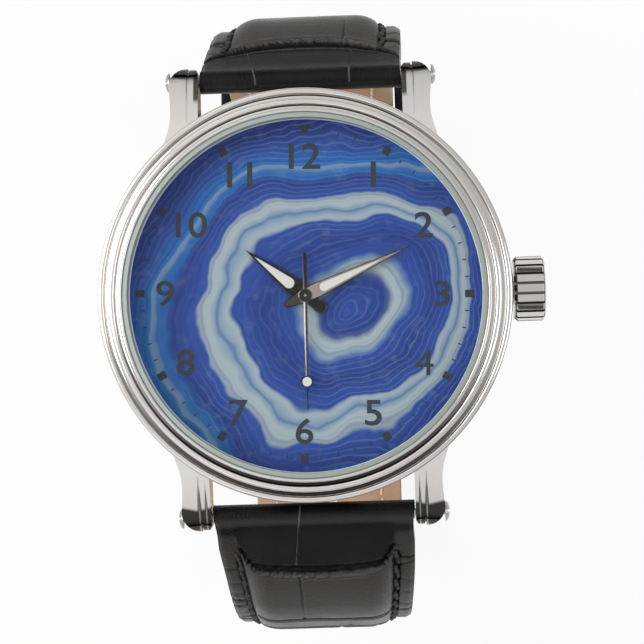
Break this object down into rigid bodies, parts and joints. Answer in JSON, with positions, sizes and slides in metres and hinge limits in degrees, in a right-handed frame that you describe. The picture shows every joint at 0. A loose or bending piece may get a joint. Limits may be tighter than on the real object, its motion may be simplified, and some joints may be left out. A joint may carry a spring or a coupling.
{
  "type": "analog wristwatch",
  "caption": "Round steel wristwatch with stepped bezel, blue dial, leaf hands, fluted crown and a buckled padded leather strap.",
  "frame": {"origin": "centre of the case back's flat outer face, on the axis of the hands", "axes": "+Z out through the dial and crystal, +X toward 3 o'clock and the crown, +Y toward 12 o'clock; the watch stands dial up on its buckled strap"},
  "size_m": [0.0433, 0.0636, 0.0607],
  "materials": {
    "case_steel": "mirror polished, warm silver",
    "bezel_steel": "mirror polished, warm silver",
    "crown_steel": "polished, fluted",
    "back_steel": "fine circular brushing",
    "crystal": "clear, flat, polished bevel",
    "gasket": "grey-green sealing ring",
    "black_rubber": "soft black seal",
    "dial_ring": "pale satin",
    "dial": "blue wash with pale drifts, printed slate markers",
    "hand_metal": "polished",
    "lume": "pale luminous fill",
    "seconds_black": "gloss black",
    "white_resin": "moulded",
    "plate_brass": "fine grained",
    "bridge_steel": "straight brushed",
    "wheel_brass": "stamped, lightly polished",
    "small_steel": "polished",
    "cell_steel": "satin",
    "copper": "enamelled winding wire",
    "soft_iron": "dull",
    "board": "solder mask",
    "strap_leather": "black padded leather with large square scales",
    "strap_lining": "smooth tan lining",
    "buckle_steel": "polished"
  },
  "bodies": {
    "case": {"case_middle": "case_steel", "bezel": "bezel_steel", "crystal": "crystal", "crystal_gasket": "gasket", "dial_ring": "dial_ring", "dial": "dial", "case_back": "back_steel", "case_back_gasket": "black_rubber", "crown_tube": "small_steel", "movement_holder": "white_resin", "main_plate": "plate_brass", "train_bridge": "bridge_steel", "bridge_screws": "small_steel", "battery": "cell_steel", "battery_clamp": "small_steel", "coil": "copper", "coil_core": "soft_iron", "stator": "soft_iron", "circuit_board": "board", "quartz_can": "cell_steel", "lug_bar_12": "small_steel", "lug_bar_6": "small_steel", "lug_screws": "case_steel"},
    "seconds": {"second_hand": "seconds_black", "second_lume": "lume", "fourth_wheel": "wheel_brass"},
    "minutes": {"minute_hand": "hand_metal", "minute_lume": "lume", "centre_wheel": "wheel_brass"},
    "hours": {"hour_hand": "hand_metal", "hour_lume": "lume", "hour_wheel": "wheel_brass"},
    "rotor": {"rotor": "small_steel"},
    "fifth": {"fifth_wheel": "wheel_brass"},
    "third": {"third_wheel": "wheel_brass"},
    "minute_work": {"minute_wheel": "wheel_brass"},
    "setting": {"setting_wheel": "wheel_brass"},
    "clutch": {"sliding_pinion": "small_steel"},
    "crown": {"crown": "crown_steel", "stem": "small_steel", "crown_gasket": "black_rubber"},
    "lever": {"setting_lever": "small_steel"},
    "strap_12": {"strap_12_leather": "strap_leather", "strap_12_lining": "strap_lining", "fixed_keeper": "strap_leather", "buckle_bar": "small_steel"},
    "strap_6": {"strap_6_leather": "strap_leather", "strap_6_lining": "strap_lining"},
    "keeper": {"sliding_keeper": "strap_leather"},
    "buckle": {"buckle_frame": "buckle_steel"},
    "tang": {"buckle_tang": "buckle_steel"}
  },
  "joints": [
    {"name": "seconds_turn", "type": "hinge", "parent": "case", "child": "seconds", "pos_m": [0, 0, 0], "axis": [0, 0, -1], "continuous": true},
    {"name": "minutes_turn", "type": "hinge", "parent": "case", "child": "minutes", "pos_m": [0, 0, 0], "axis": [0, 0, -1], "continuous": true},
    {"name": "hours_turn", "type": "hinge", "parent": "case", "child": "hours", "pos_m": [0, 0, 0], "axis": [0, 0, -1], "continuous": true},
    {"name": "rotor_turn", "type": "hinge", "parent": "case", "child": "rotor", "pos_m": [-0.00324, 0.00495, 0], "axis": [0, 0, -1], "continuous": true},
    {"name": "fifth_turn", "type": "hinge", "parent": "case", "child": "fifth", "pos_m": [-0.0006, 0.00343, 0], "axis": [0, 0, -1], "continuous": true},
    {"name": "third_turn", "type": "hinge", "parent": "case", "child": "third", "pos_m": [0.0024, -0.0024, 0], "axis": [0, 0, -1], "continuous": true},
    {"name": "minute_wheel_turn", "type": "hinge", "parent": "case", "child": "minute_work", "pos_m": [0.00207, 0.00075, 0], "axis": [0, 0, -1], "continuous": true},
    {"name": "setting_wheel_turn", "type": "hinge", "parent": "case", "child": "setting", "pos_m": [0.00539, 0, 0], "axis": [0, 0, -1], "continuous": true},
    {"name": "crown_turn", "type": "hinge", "parent": "case", "child": "clutch", "pos_m": [0, 0, 0.0036], "axis": [1, 0, 0], "continuous": true},
    {"name": "crown_pull", "type": "slide", "parent": "clutch", "child": "crown", "axis": [1, 0, 0], "range_m": [0, 0.001]},
    {"name": "lever_swing", "type": "hinge", "parent": "case", "child": "lever", "pos_m": [0.01096, 0.0029, 0.0042], "axis": [0, 0, 1], "range_deg": [0, 24.68]},
    {"name": "strap_12_swing", "type": "hinge", "parent": "case", "child": "strap_12", "pos_m": [0, 0.0215, 0.0017], "axis": [1, 0, 0], "range_deg": [0, 75], "deforming": ["strap_12_leather", "strap_12_lining"]},
    {"name": "strap_6_swing", "type": "hinge", "parent": "case", "child": "strap_6", "pos_m": [0, -0.0215, 0.0017], "axis": [-1, 0, 0], "range_deg": [0, 50], "deforming": ["strap_6_leather", "strap_6_lining"]},
    {"name": "keeper_slide", "type": "slide", "parent": "strap_12", "child": "keeper", "axis": [0, -0.2673, -0.9636], "range_m": [-0.006, 0.001]},
    {"name": "buckle_swing", "type": "hinge", "parent": "strap_12", "child": "buckle", "pos_m": [0, -0.0015, -0.048], "axis": [1, 0, 0], "range_deg": [0, 45]},
    {"name": "tang_swing", "type": "hinge", "parent": "buckle", "child": "tang", "pos_m": [0, -0.0015, -0.048], "axis": [1, 0, 0], "range_deg": [0, 60]}
  ],
  "couplings": [
    {"joint": "minutes_turn", "follows": "seconds_turn", "ratio": 0.016667},
    {"joint": "hours_turn", "follows": "seconds_turn", "ratio": 0.0013889},
    {"joint": "rotor_turn", "follows": "seconds_turn", "ratio": 30},
    {"joint": "fifth_turn", "follows": "seconds_turn", "ratio": -5},
    {"joint": "third_turn", "follows": "seconds_turn", "ratio": -0.13333},
    {"joint": "minute_wheel_turn", "follows": "seconds_turn", "ratio": -0.0055556},
    {"joint": "setting_wheel_turn", "follows": "seconds_turn", "ratio": 0.0052083},
    {"joint": "lever_swing", "follows": "crown_pull", "rad_per_m": 421.94}
  ]
}
